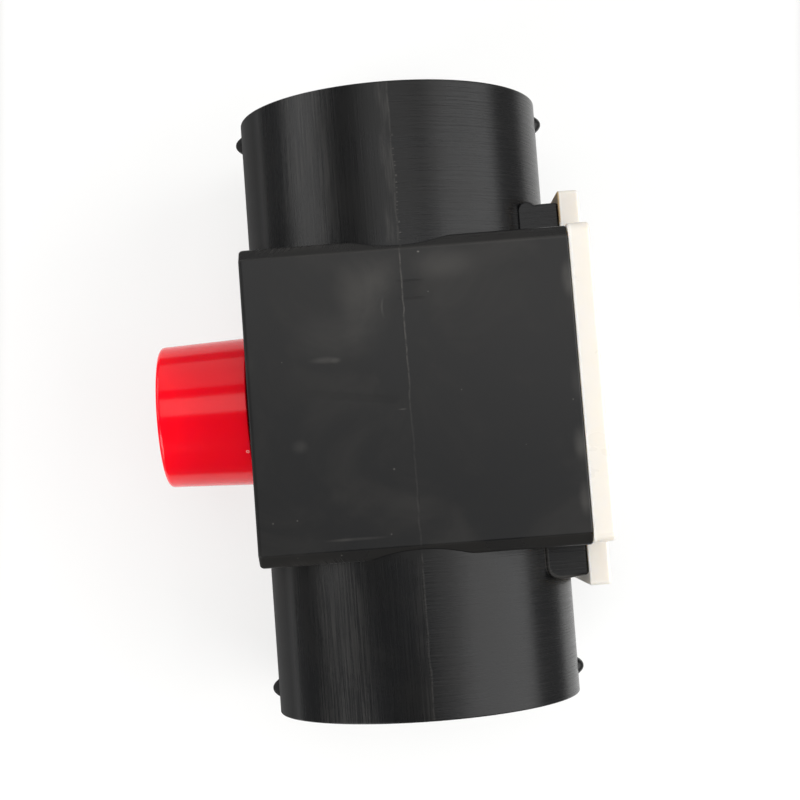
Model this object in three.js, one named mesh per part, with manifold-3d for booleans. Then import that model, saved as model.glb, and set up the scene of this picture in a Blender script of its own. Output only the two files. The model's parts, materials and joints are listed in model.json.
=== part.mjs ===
// Quarter-turn seacock valve for a marine hose line.
//
// Frame: millimetres. The flow axis is Y, the spindle axis is X and +Z is up.
// The valve lies on the flat back of its square middle, as on a bench.
// The origin is the centre of the ball, where the flow axis crosses the spindle axis.
// The square middle and the tubes sit a little off that centre, along the flow.
// The knob is on the -X side and the screwed cover is on the +X side.
// At rest the knob is at its open stop, so the ball's port lies along Y.

import * as THREE from 'three';
import { mergeVertices } from 'three/addons/utils/BufferGeometryUtils.js';
import Module from 'manifold-3d';

const wasm = await Module();
wasm.setup();

// ---------------------------------------------------------------- dimensions

const GAP = 0.3; // clearance between pieces that touch
const BODY_CENTRE = -1.6; // the middle of the square box and of the tubes, along Y

const tube = {
  outerRadius: 38,
  innerRadius: 34,
  halfLength: 75,
  rimRound: 0.4,
};

const box = {
  knobFace: -37.7,
  coverFace: 39.75,
  halfAlong: 37.3,
  halfDeep: tube.outerRadius + 1,
  endBevel: 2.9,
  sideEdgeRound: 0.8,
};

const nub = {
  radius: 2.2,
  proud: 1.7,
  fromRim: 4.6,
};

const lug = {
  thickness: 10,
  reachAtCover: 45.3,
  reachAtBack: 46,
  halfWidth: 23.6,
  cornerRound: 3.2,
};

const cavity = {
  radius: 30,
  floor: -30.4,
};

const seatBore = {
  radius: 28.3,
  shoulder: 44,
  innerEnd: 15.5,
};

const ball = {
  radius: 28,
  portRadius: 19.5,
  slotWidth: 8,
  slotDepth: 7,
  trunnionBore: 5.3,
  trunnionDepth: 9,
};

const seat = {
  outerRadius: seatBore.radius - GAP,
  innerRadius: 20,
  faceRadius: 22,
  back: 26,
};

const seatSeal = {
  radius: 26.3,
  section: 1.2,
};

const retainer = {
  outerRadius: seatBore.radius - GAP,
  innerRadius: 20,
  outerEnd: 40,
  slotWidth: 5,
  slotDepth: 3,
};

const spindle = {
  radius: 7,
  flangeRadius: 10.5,
  flangeThickness: 2.6,
  tangThickness: ball.slotWidth - 2 * GAP,
  tangHalfWidth: 9,
  squareHalf: 4.6,
  squareLength: 6.7,
  end: -57.3,
  screwRadius: 2.2,
  screwDepth: 13,
  sealDepth: 2,
};

const boss = {
  radius: 12.4,
  end: -50,
  stopRadius: 14.9,
  stopHalfAngle: 20,
};

const bush = {
  flangeRadius: 11,
  radius: 9.2,
  flangeThickness: 1.6,
  length: 6,
};

const knob = {
  innerEnd: -39.8,
  outerEnd: -62.3,
  radiusAtBody: 19,
  radiusAtEnd: 18,
  endEdgeRound: 1.2,
  wall: 2.4,
  endWall: 5.6,
  hubRadius: 8.2,
  stopLugHalfWidth: 3,
  stopLugInner: 12.9,
  stopLugEnd: -47,
  fingerRecess: 4,
  gripHalfWidth: 3.6,
  fingerRadius: 14,
};

const cover = {
  centre: -1.2,
  inner: box.coverFace + GAP,
  thickness: 5.05,
  halfAlong: 37.2,
  earReach: 48,
  earHalfWidth: 24.5,
  plateRound: 2.4,
  cornerRound: 1,
  faceRound: 1,
  spigotRadius: cavity.radius - GAP,
  spigotEnd: 31.6,
  grooveStart: 34.2,
  grooveWidth: 3,
  grooveDepth: 2.4,
  pinBore: 7.2,
};

const coverOuter = cover.inner + cover.thickness;

const screw = {
  radius: 1.9,
  headRadius: 3.8,
  headDepth: 2.4,
  length: 12,
  acrossZ: 16,
  alongY: 41,
};

const insert = {
  outerRadius: 2.9,
  innerRadius: 2.2,
  length: 6.6,
};

const pin = {
  radius: 5,
  start: ball.radius - ball.trunnionDepth + 0.6,
  end: 38,
};

// Flats per full turn on round pieces.
const ROUND_TUBE = 64;
const ROUND_BIG = 48;
const ROUND_MEDIUM = 32;
const ROUND_SMALL = 16;
const ROUND_SECTION = 6;

// ---------------------------------------------------------------- colours

const finishes = {
  blackPlastic: { color: 0x2b2c2e, roughness: 0.55, metalness: 0 },
  redPlastic: { color: 0xd90012, roughness: 0.12, metalness: 0 },
  ivoryPlastic: { color: 0xf2ead8, roughness: 0.25, metalness: 0 },
  whitePlastic: { color: 0xe9e9e6, roughness: 0.4, metalness: 0 },
  ptfe: { color: 0xf6f6f2, roughness: 0.5, metalness: 0 },
  rubber: { color: 0x141414, roughness: 0.85, metalness: 0 },
  steel: { color: 0xb9bcc0, roughness: 0.3, metalness: 1 },
  brass: { color: 0xc9a24a, roughness: 0.35, metalness: 1 },
};

// ---------------------------------------------------------------- helpers

const object = new THREE.Group();

// A closed three.js geometry becomes a solid once its shared vertices are merged.
function solid(geometry) {
  const bare = geometry.index ? geometry.toNonIndexed() : geometry.clone();
  bare.deleteAttribute('normal');
  bare.deleteAttribute('uv');
  const merged = mergeVertices(bare, 1e-4);
  const mesh = new wasm.Mesh({
    numProp: 3,
    vertProperties: new Float32Array(merged.attributes.position.array),
    triVerts: new Uint32Array(merged.index.array),
  });
  return new wasm.Manifold(mesh);
}

function geometryOf(manifold) {
  const mesh = manifold.getMesh();
  const geometry = new THREE.BufferGeometry();
  geometry.setAttribute('position', new THREE.BufferAttribute(new Float32Array(mesh.vertProperties), 3));
  geometry.setIndex(new THREE.BufferAttribute(new Uint32Array(mesh.triVerts), 1));
  geometry.computeVertexNormals();
  return geometry;
}

function addPiece(name, manifold, finish) {
  const mesh = new THREE.Mesh(geometryOf(manifold), new THREE.MeshStandardMaterial(finishes[finish]));
  mesh.name = name;
  object.add(mesh);
  return mesh;
}

// A round about +Y, turned from [radius, y] points that start and end on the axis or close on themselves.
function turned(points, segments) {
  const profile = points.map(([radius, along]) => new THREE.Vector2(radius, along));
  return new THREE.LatheGeometry(profile, segments);
}

// The same round about +X: the profile's second number is then x.
function turnedAboutX(points, segments) {
  return turned(points, segments).rotateZ(-Math.PI / 2);
}

function rodAboutY(radius, from, to, segments) {
  return solid(turned([[0, from], [radius, from], [radius, to], [0, to]], segments));
}

function rodAboutX(radius, from, to, segments) {
  return solid(turnedAboutX([[0, from], [radius, from], [radius, to], [0, to]], segments));
}

function ringAboutX(outer, inner, from, to, segments) {
  const points = [[inner, from], [outer, from], [outer, to], [inner, to], [inner, from]];
  return solid(turnedAboutX(points, segments));
}

function block(low, high) {
  const size = high.map((value, axis) => value - low[axis]);
  const centre = high.map((value, axis) => (value + low[axis]) / 2);
  return solid(new THREE.BoxGeometry(...size).translate(...centre));
}

// A seal ring about an axis, with its centre line at the given place along it.
function sealRing(radius, section, along, axis) {
  const ring = new THREE.TorusGeometry(radius, section, ROUND_SECTION, ROUND_MEDIUM);
  if (axis === 'x') {
    return solid(ring.rotateY(Math.PI / 2).translate(along, 0, 0));
  }
  return solid(ring.rotateX(Math.PI / 2).translate(0, along, 0));
}

// A rectangle of half sizes a and b with rounded corners.
function roundedRectangle(a, b, radius) {
  const shape = new THREE.Shape();
  shape.moveTo(-a + radius, -b);
  shape.lineTo(a - radius, -b);
  shape.absarc(a - radius, -b + radius, radius, -Math.PI / 2, 0);
  shape.lineTo(a, b - radius);
  shape.absarc(a - radius, b - radius, radius, 0, Math.PI / 2);
  shape.lineTo(-a + radius, b);
  shape.absarc(-a + radius, b - radius, radius, Math.PI / 2, Math.PI);
  shape.lineTo(-a, -b + radius);
  shape.absarc(-a + radius, -b + radius, radius, Math.PI, Math.PI * 1.5);
  return shape;
}

// A rectangle with its corners cut off at 45 degrees.
function bevelledRectangle(a, b, bevel) {
  const shape = new THREE.Shape();
  shape.moveTo(-a + bevel, -b);
  shape.lineTo(a - bevel, -b);
  shape.lineTo(a, -b + bevel);
  shape.lineTo(a, b - bevel);
  shape.lineTo(a - bevel, b);
  shape.lineTo(-a + bevel, b);
  shape.lineTo(-a, b - bevel);
  shape.lineTo(-a, -b + bevel);
  shape.closePath();
  return shape;
}

// A shape drawn in (Y, Z) and extruded along X from one place to another.
function extrudeAlongX(shape, from, to, curveSegments) {
  const geometry = new THREE.ExtrudeGeometry(shape, { depth: to - from, bevelEnabled: false, curveSegments });
  const turn = new THREE.Matrix4().makeBasis(
    new THREE.Vector3(0, 1, 0),
    new THREE.Vector3(0, 0, 1),
    new THREE.Vector3(1, 0, 0),
  );
  return geometry.applyMatrix4(turn).translate(from, 0, 0);
}

// A shape drawn in (X, Z) and extruded along Y from one place to another.
function extrudeAlongY(shape, from, to, curveSegments) {
  const geometry = new THREE.ExtrudeGeometry(shape, { depth: to - from, bevelEnabled: false, curveSegments });
  return geometry.rotateX(Math.PI / 2).translate(0, to, 0);
}

function join(pieces) {
  return pieces.reduce((whole, piece) => whole.add(piece));
}

function cut(whole, tools) {
  return tools.reduce((rest, tool) => rest.subtract(tool), whole);
}

// Places of the four cover screws, as signs of Y and Z.
const screwCorners = [[1, 1], [1, -1], [-1, 1], [-1, -1]];
const screwAt = ([signY, signZ]) => ({ y: cover.centre + signY * screw.alongY, z: signZ * screw.acrossZ });

// ---------------------------------------------------------------- valve body

// The box's edges along X are bevelled, and the tubes merge into the bevels.
function boxBlock() {
  const endOn = bevelledRectangle(box.halfAlong, box.halfDeep, box.endBevel);
  const sideways = solid(extrudeAlongX(endOn, box.knobFace, box.coverFace, 5));
  const halfAcross = (box.coverFace - box.knobFace) / 2;
  const centreX = (box.coverFace + box.knobFace) / 2;
  const plan = roundedRectangle(halfAcross, box.halfDeep, box.sideEdgeRound);
  const upright = extrudeAlongY(plan, -box.halfAlong, box.halfAlong, 3).translate(centreX, 0, 0);
  return sideways.intersect(solid(upright));
}

function tubeOutside() {
  const inset = tube.rimRound * (1 - Math.SQRT1_2);
  const quarter = [
    [tube.outerRadius, tube.halfLength - tube.rimRound],
    [tube.outerRadius - inset, tube.halfLength - inset],
    [tube.outerRadius - tube.rimRound, tube.halfLength],
  ];
  const lower = quarter.map(([radius, along]) => [radius, -along]).reverse();
  return solid(turned([[0, -tube.halfLength], ...lower, ...quarter, [0, tube.halfLength]], ROUND_TUBE));
}

function nubs() {
  const pieces = [];
  for (const signX of [-1, 1]) {
    for (const signY of [-1, 1]) {
      const dome = new THREE.SphereGeometry(nub.radius, 12, 6);
      const x = signX * (tube.outerRadius + nub.proud - nub.radius);
      const y = signY * (tube.halfLength - nub.fromRim);
      pieces.push(solid(dome.translate(x, y, 0)));
    }
  }
  return pieces;
}

// The two lugs that the cover's ears are screwed to.
function coverLugs() {
  const pieces = [];
  for (const signY of [-1, 1]) {
    const shape = new THREE.Shape();
    const inner = box.coverFace - lug.thickness;
    const outer = box.coverFace;
    const root = signY * (box.halfAlong - 3);
    const tip = signY * lug.reachAtBack;
    const bend = tip - signY * lug.cornerRound;
    shape.moveTo(inner, root);
    shape.lineTo(outer, root);
    shape.lineTo(outer, signY * lug.reachAtCover);
    shape.lineTo(inner + lug.cornerRound, tip);
    shape.quadraticCurveTo(inner, tip, inner, bend);
    const depth = 2 * lug.halfWidth;
    const plate = new THREE.ExtrudeGeometry(shape, { depth, bevelEnabled: false, curveSegments: 4 });
    pieces.push(solid(plate.translate(0, cover.centre, -lug.halfWidth)));
  }
  return pieces;
}

// The stop on the boss: the knob's lug meets one side when open and the other when closed.
const stopLugHalfAngle = THREE.MathUtils.radToDeg(Math.asin(knob.stopLugHalfWidth / knob.stopLugInner));
const stopClearAngle = THREE.MathUtils.radToDeg(GAP / knob.stopLugInner);
const quarterTurn = 90;
const stopSpan = 360 - quarterTurn - 2 * (stopLugHalfAngle + stopClearAngle);
const stopStart = quarterTurn + stopLugHalfAngle + stopClearAngle;

function stopRib(centreAngle) {
  const shape = new THREE.Shape();
  const half = THREE.MathUtils.degToRad(boss.stopHalfAngle);
  const middle = THREE.MathUtils.degToRad(centreAngle);
  shape.absarc(0, 0, boss.stopRadius, middle - half, middle + half);
  shape.lineTo(0, 0);
  return solid(extrudeAlongX(shape, boss.end, box.knobFace + 1, 6));
}

function valveBody() {
  const bossOutside = rodAboutX(boss.radius, boss.end, box.knobFace + 1, ROUND_MEDIUM);
  const ribs = [
    stopRib(stopStart + boss.stopHalfAngle),
    stopRib(stopStart + stopSpan - boss.stopHalfAngle),
  ];
  const moulding = join([tubeOutside(), boxBlock(), ...nubs()]).translate([0, BODY_CENTRE, 0]);
  const outside = join([moulding, ...coverLugs(), bossOutside, ...ribs]);

  const hoseBores = [];
  for (const sign of [-1, 1]) {
    const deep = sign * seatBore.shoulder;
    const mouth = BODY_CENTRE + sign * (tube.halfLength + 1);
    hoseBores.push(rodAboutY(tube.innerRadius, Math.min(deep, mouth), Math.max(deep, mouth), ROUND_BIG));
  }
  const seatPocket = rodAboutY(seatBore.radius, -seatBore.shoulder - 1, seatBore.shoulder + 1, ROUND_BIG);
  const pocketMiddle = block(
    [-seatBore.radius - 1, -seatBore.innerEnd, -seatBore.radius - 1],
    [seatBore.radius + 1, seatBore.innerEnd, seatBore.radius + 1],
  );
  const ballCavity = rodAboutX(cavity.radius, cavity.floor, box.coverFace + 1, ROUND_BIG);

  const flangeFloor = cavity.floor - spindle.flangeThickness - 1.6;
  const flangeSeat = rodAboutX(spindle.flangeRadius + GAP, flangeFloor, cavity.floor + 1, ROUND_MEDIUM);
  const stemBore = rodAboutX(spindle.radius + GAP, boss.end - 1, cavity.floor, ROUND_MEDIUM);
  const bushFloor = boss.end + bush.length - bush.flangeThickness + GAP;
  const bushBore = rodAboutX(bush.radius + GAP, boss.end - 1, bushFloor, ROUND_MEDIUM);

  const insertHoles = screwCorners.map((corner) => {
    const { y, z } = screwAt(corner);
    const deep = coverOuter - 0.5 - screw.length - 2 * GAP;
    const hole = rodAboutX(screw.radius + GAP, deep, box.coverFace + 1, ROUND_SMALL);
    const pocket = rodAboutX(insert.outerRadius + GAP, box.coverFace - insert.length - 2 * GAP,
      box.coverFace + 1, ROUND_SMALL);
    return hole.add(pocket).translate([0, y, z]);
  });

  return cut(outside, [
    ...hoseBores,
    seatPocket.subtract(pocketMiddle),
    ballCavity,
    flangeSeat,
    stemBore,
    bushBore,
    ...insertHoles,
  ]);
}

addPiece('valve_body', valveBody(), 'blackPlastic');

// ---------------------------------------------------------------- ball

function closureBall() {
  const round = new THREE.SphereGeometry(ball.radius, ROUND_BIG, ROUND_MEDIUM / 2);
  const sphere = solid(round.rotateX(Math.PI / 2));
  const port = rodAboutY(ball.portRadius, -ball.radius - 1, ball.radius + 1, ROUND_MEDIUM);
  const slot = block(
    [-ball.radius - 1, -ball.slotWidth / 2, -ball.radius],
    [-ball.radius + ball.slotDepth, ball.slotWidth / 2, ball.radius],
  );
  const trunnion = rodAboutX(ball.trunnionBore, ball.radius - ball.trunnionDepth + GAP, ball.radius + 1,
    ROUND_SMALL);
  return cut(sphere, [port, slot, trunnion]);
}

addPiece('ball', closureBall(), 'whitePlastic');

// ---------------------------------------------------------------- seats and their retainers

// A seat ring about +Y: a cone faces the ball and a rebate at the back holds the seal.
function seatRing() {
  const clear = ball.radius + GAP;
  const faceAt = (radius) => Math.sqrt(clear * clear - radius * radius);
  const lip = seat.faceRadius;
  const points = [
    [seat.innerRadius, faceAt(seat.innerRadius) + 0.1],
    [lip, faceAt(lip) + 0.1],
    [lip + 1.4, faceAt(lip + 1.4) + 0.15],
    [seat.outerRadius, faceAt(lip + 1.4) + 0.15],
    [seat.outerRadius, seat.back - 2 * seatSeal.section - 2 * GAP],
    [seatSeal.radius - seatSeal.section - GAP, seat.back - 2 * seatSeal.section - 2 * GAP],
    [seatSeal.radius - seatSeal.section - GAP, seat.back],
    [seat.innerRadius, seat.back],
    [seat.innerRadius, faceAt(seat.innerRadius) + 0.1],
  ];
  return solid(turned(points, ROUND_MEDIUM));
}

// A retainer ring about +Y, with four spanner slots in its outer end.
function retainerRing() {
  const start = seat.back + GAP;
  const points = [
    [retainer.innerRadius, start],
    [retainer.outerRadius, start],
    [retainer.outerRadius, retainer.outerEnd],
    [retainer.innerRadius + 1.5, retainer.outerEnd],
    [retainer.innerRadius, retainer.outerEnd - 1.5],
    [retainer.innerRadius, start],
  ];
  const ring = solid(turned(points, ROUND_MEDIUM));
  const low = retainer.outerEnd - retainer.slotDepth;
  const high = retainer.outerEnd + 1;
  const reach = retainer.outerRadius + 1;
  const half = retainer.slotWidth / 2;
  return cut(ring, [
    block([-reach, low, -half], [reach, high, half]),
    block([-half, low, -reach], [half, high, reach]),
  ]);
}

for (const [side, turn] of [['upper', 0], ['lower', Math.PI]]) {
  const sealAt = seat.back - seatSeal.section - GAP;
  const seal = sealRing(seatSeal.radius, seatSeal.section, sealAt, 'y');
  addPiece(`${side}_seat_ring`, seatRing(), 'ptfe').rotation.x = turn;
  addPiece(`${side}_seat_seal`, seal, 'rubber').rotation.x = turn;
  addPiece(`${side}_seat_retainer`, retainerRing(), 'blackPlastic').rotation.x = turn;
}

// ---------------------------------------------------------------- spindle

const flangeInner = cavity.floor - GAP;
const flangeOuter = flangeInner - spindle.flangeThickness;
const squareStart = spindle.end + spindle.squareLength;
const spindleSeals = [-38.4, -42];
const spindleSeal = { radius: 6.15, section: 0.85 };

function driveSpindle() {
  const shank = [[0, squareStart], [spindle.radius, squareStart]];
  for (const place of [...spindleSeals].reverse()) {
    const half = spindleSeal.section + GAP;
    const floor = spindle.radius - spindle.sealDepth;
    shank.push([spindle.radius, place - half], [floor, place - half]);
    shank.push([floor, place + half], [spindle.radius, place + half]);
  }
  shank.push(
    [spindle.radius, flangeOuter],
    [spindle.flangeRadius, flangeOuter],
    [spindle.flangeRadius, flangeInner],
    [0, flangeInner],
  );
  const round = solid(turnedAboutX(shank, ROUND_MEDIUM));
  const tang = block(
    [flangeInner - 1, -spindle.tangThickness / 2, -spindle.tangHalfWidth],
    [-ball.radius + ball.slotDepth - GAP, spindle.tangThickness / 2, spindle.tangHalfWidth],
  );
  const square = block(
    [spindle.end, -spindle.squareHalf, -spindle.squareHalf],
    [squareStart + 1, spindle.squareHalf, spindle.squareHalf],
  );
  const screwHole = rodAboutX(spindle.screwRadius + GAP, spindle.end - 1, spindle.end + spindle.screwDepth,
    ROUND_SMALL);
  return cut(join([round, tang, square]), [screwHole]);
}

addPiece('drive_spindle', driveSpindle(), 'steel');

spindleSeals.forEach((place, index) => {
  const side = index === 0 ? 'inner' : 'outer';
  addPiece(`${side}_spindle_seal`, sealRing(spindleSeal.radius, spindleSeal.section, place, 'x'), 'rubber');
});

const washerInner = flangeOuter - GAP;
const thrustWasher = ringAboutX(
  spindle.flangeRadius, spindle.radius + GAP, washerInner - 1, washerInner, ROUND_MEDIUM);
addPiece('spindle_thrust_washer', thrustWasher, 'ptfe');

// The guide bush is pushed into the end of the boss and its flange carries the knob's hub.
function guideBush() {
  const flange = ringAboutX(bush.flangeRadius, spindle.radius + GAP, boss.end - GAP - bush.flangeThickness,
    boss.end - GAP, ROUND_MEDIUM);
  const sleeve = ringAboutX(bush.radius, spindle.radius + GAP, boss.end - GAP - bush.flangeThickness / 2,
    boss.end + bush.length - bush.flangeThickness, ROUND_MEDIUM);
  return flange.add(sleeve);
}

addPiece('spindle_guide_bush', guideBush(), 'ptfe');

// ---------------------------------------------------------------- knob

function knobOutside() {
  const steps = 5;
  const corner = [];
  for (let step = 0; step <= steps; step += 1) {
    const angle = (step / steps) * (Math.PI / 2);
    const radius = knob.radiusAtEnd - knob.endEdgeRound * (1 - Math.sin(angle));
    const along = knob.outerEnd + knob.endEdgeRound * (1 - Math.cos(angle));
    corner.push([radius, along]);
  }
  return solid(turnedAboutX([
    [0, knob.outerEnd],
    ...corner,
    [knob.radiusAtBody, knob.innerEnd],
    [0, knob.innerEnd],
  ], ROUND_BIG));
}

// The hollow that goes over the boss, around the hub.
function knobHollow() {
  const endInside = knob.outerEnd + knob.endWall;
  const atEnd = knob.radiusAtEnd - knob.wall;
  const atBody = knob.radiusAtBody - knob.wall;
  const hollow = solid(turnedAboutX([
    [0, endInside],
    [atEnd, endInside],
    [atBody, knob.innerEnd + 1],
    [0, knob.innerEnd + 1],
  ], ROUND_MEDIUM));
  const bushClear = boss.end - 2 * GAP - bush.flangeThickness;
  const hub = rodAboutX(knob.hubRadius, knob.outerEnd + 1, bushClear, ROUND_MEDIUM);
  return hollow.subtract(hub);
}

// Two finger pockets in the end face leave a grip bar between them.
function fingerPockets() {
  const floor = knob.outerEnd + knob.fingerRecess;
  const pocket = rodAboutX(knob.fingerRadius, knob.outerEnd - 1, floor, ROUND_MEDIUM);
  const bar = block(
    [knob.outerEnd - 2, -knob.fingerRadius - 1, -knob.gripHalfWidth],
    [floor + 1, knob.fingerRadius + 1, knob.gripHalfWidth],
  );
  const middle = rodAboutX(knob.hubRadius - 1.2, knob.outerEnd - 2, floor + 1, ROUND_MEDIUM);
  return cut(pocket, [bar, middle]);
}

const knobScrew = {
  radius: 2,
  headRadius: 4,
  headThickness: 2.2,
  headTop: knob.outerEnd + 0.7,
};

function turnKnob() {
  const lugStart = knob.innerEnd;
  const lugOuter = knob.radiusAtBody - knob.wall + 0.4;
  const stopLug = block(
    [knob.stopLugEnd, knob.stopLugInner, -knob.stopLugHalfWidth],
    [lugStart, lugOuter, knob.stopLugHalfWidth],
  );
  const hole = spindle.squareHalf + GAP;
  const squareHole = block([spindle.end - GAP, -hole, -hole], [knob.innerEnd + 1, hole, hole]);
  const screwHole = rodAboutX(knobScrew.radius + GAP, knob.outerEnd - 1, squareStart, ROUND_SMALL);
  const headRecess = rodAboutX(knobScrew.headRadius + GAP, knob.outerEnd - 1,
    knobScrew.headTop + knobScrew.headThickness + GAP, ROUND_SMALL);
  const shell = cut(knobOutside(), [knobHollow(), fingerPockets()]);
  return cut(shell.add(stopLug), [squareHole, screwHole, headRecess]);
}

addPiece('turn_knob', turnKnob(), 'redPlastic');

// A pan-head screw along X, with a cross recess in its head.
function headedScrew(shank, head, headTop, headThickness, tip, towards) {
  const recessDepth = headThickness * 0.6;
  const recessHalf = head * 0.6;
  const bar = head * 0.14;
  const headEnd = headTop + towards * headThickness;
  const body = rodAboutX(head, Math.min(headTop, headEnd), Math.max(headTop, headEnd), ROUND_SMALL);
  const root = headTop + towards * 0.5;
  const stem = rodAboutX(shank, Math.min(root, tip), Math.max(root, tip), ROUND_SMALL);
  const from = Math.min(headTop - towards, headTop + towards * recessDepth);
  const to = Math.max(headTop - towards, headTop + towards * recessDepth);
  return cut(body.add(stem), [
    block([from, -bar, -recessHalf], [to, bar, recessHalf]),
    block([from, -recessHalf, -bar], [to, recessHalf, bar]),
  ]);
}

const knobScrewTip = spindle.end + spindle.screwDepth - 1;
addPiece('knob_screw', headedScrew(knobScrew.radius, knobScrew.headRadius, knobScrew.headTop,
  knobScrew.headThickness, knobScrewTip, 1), 'steel');

// ---------------------------------------------------------------- cover

function coverOutline(inset) {
  const halfY = cover.halfAlong - inset;
  const halfZ = box.halfDeep - inset;
  const earY = cover.earReach - inset;
  const earZ = cover.earHalfWidth - inset;
  const round = cover.cornerRound;
  const plateRound = cover.plateRound;
  const shape = new THREE.Shape();
  shape.moveTo(-halfY + plateRound, -halfZ);
  shape.lineTo(halfY - plateRound, -halfZ);
  shape.quadraticCurveTo(halfY, -halfZ, halfY, -halfZ + plateRound);
  shape.lineTo(halfY, -earZ);
  shape.lineTo(earY - round, -earZ);
  shape.quadraticCurveTo(earY, -earZ, earY, -earZ + round);
  shape.lineTo(earY, earZ - round);
  shape.quadraticCurveTo(earY, earZ, earY - round, earZ);
  shape.lineTo(halfY, earZ);
  shape.lineTo(halfY, halfZ - plateRound);
  shape.quadraticCurveTo(halfY, halfZ, halfY - plateRound, halfZ);
  shape.lineTo(-halfY + plateRound, halfZ);
  shape.quadraticCurveTo(-halfY, halfZ, -halfY, halfZ - plateRound);
  shape.lineTo(-halfY, earZ);
  shape.lineTo(-earY + round, earZ);
  shape.quadraticCurveTo(-earY, earZ, -earY, earZ - round);
  shape.lineTo(-earY, -earZ + round);
  shape.quadraticCurveTo(-earY, -earZ, -earY + round, -earZ);
  shape.lineTo(-halfY, -earZ);
  shape.lineTo(-halfY, -halfZ + plateRound);
  shape.quadraticCurveTo(-halfY, -halfZ, -halfY + plateRound, -halfZ);
  return shape;
}

function coverPlate() {
  const edge = solid(extrudeAlongX(coverOutline(0), cover.inner, coverOuter - cover.faceRound, 4));
  const face = solid(extrudeAlongX(coverOutline(cover.faceRound * 0.6), cover.inner, coverOuter, 4));
  const plate = edge.add(face).translate([0, cover.centre, 0]);
  const grooveFloor = cover.spigotRadius - cover.grooveDepth;
  const grooveEnd = cover.grooveStart + cover.grooveWidth;
  const spigot = solid(turnedAboutX([
    [0, cover.spigotEnd],
    [cover.spigotRadius - 1, cover.spigotEnd],
    [cover.spigotRadius, cover.spigotEnd + 1],
    [cover.spigotRadius, cover.grooveStart],
    [grooveFloor, cover.grooveStart],
    [grooveFloor, grooveEnd],
    [cover.spigotRadius, grooveEnd],
    [cover.spigotRadius, cover.inner + 1],
    [0, cover.inner + 1],
  ], ROUND_BIG));
  const pinBore = rodAboutX(cover.pinBore, cover.spigotEnd - 1, pin.end + GAP, ROUND_MEDIUM);
  const holes = screwCorners.map((corner) => {
    const { y, z } = screwAt(corner);
    const clear = screw.radius + GAP;
    const recess = screw.headRadius + GAP;
    const bottom = coverOuter - screw.headDepth - 0.9;
    return solid(turnedAboutX([
      [0, cover.inner - 1],
      [clear, cover.inner - 1],
      [clear, bottom],
      [recess, bottom],
      [recess, coverOuter + 1],
      [0, coverOuter + 1],
    ], ROUND_SMALL)).translate([0, y, z]);
  });
  return cut(plate.add(spigot), [pinBore, ...holes]);
}

addPiece('cover_plate', coverPlate(), 'ivoryPlastic');

const coverSealSection = 1.05;
const coverSealRadius = cover.spigotRadius - cover.grooveDepth + GAP + coverSealSection;
const coverSealAt = cover.grooveStart + cover.grooveWidth / 2;
addPiece('cover_seal', sealRing(coverSealRadius, coverSealSection, coverSealAt, 'x'), 'rubber');

screwCorners.forEach((corner, index) => {
  const { y, z } = screwAt(corner);
  const headTop = coverOuter - 0.5;
  const tip = headTop - screw.length;
  const shape = headedScrew(screw.radius, screw.headRadius, headTop, screw.headDepth, tip, -1);
  addPiece(`cover_screw_${index + 1}`, shape, 'steel').position.set(0, y, z);

  const insertOuter = box.coverFace - GAP;
  const sleeve = ringAboutX(insert.outerRadius, insert.innerRadius, insertOuter - insert.length, insertOuter,
    ROUND_SMALL);
  addPiece(`cover_insert_${index + 1}`, sleeve, 'brass').position.set(0, y, z);
});

// ---------------------------------------------------------------- trunnion

addPiece('trunnion_pin', rodAboutX(pin.radius, pin.start, pin.end - GAP, ROUND_SMALL), 'steel');

const bushStart = cover.spigotEnd + GAP;
const trunnionBush = ringAboutX(cover.pinBore - GAP, pin.radius + GAP, bushStart, pin.end - GAP, ROUND_SMALL);
addPiece('trunnion_bush', trunnionBush, 'ptfe');

const trunnionWasher = ringAboutX(9, pin.radius + GAP, ball.radius + 2 * GAP, cover.spigotEnd - 2 * GAP,
  ROUND_SMALL);
addPiece('trunnion_washer', trunnionWasher, 'ptfe');

export default object;
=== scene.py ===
"""Looks of the quarter-turn seacock valve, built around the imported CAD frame.

Same frame as the CAD: X is the spindle axis (+X towards the cover), Y is the flow axis
(+Y towards the upper tube) and +Z is up, out of the body's front face. Shapes and
textures are worked out in millimetres, and meshes are scaled to metres when made.
"""

import json
import math
from types import SimpleNamespace

import bmesh
import bpy
from mathutils import Matrix, Vector


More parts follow.
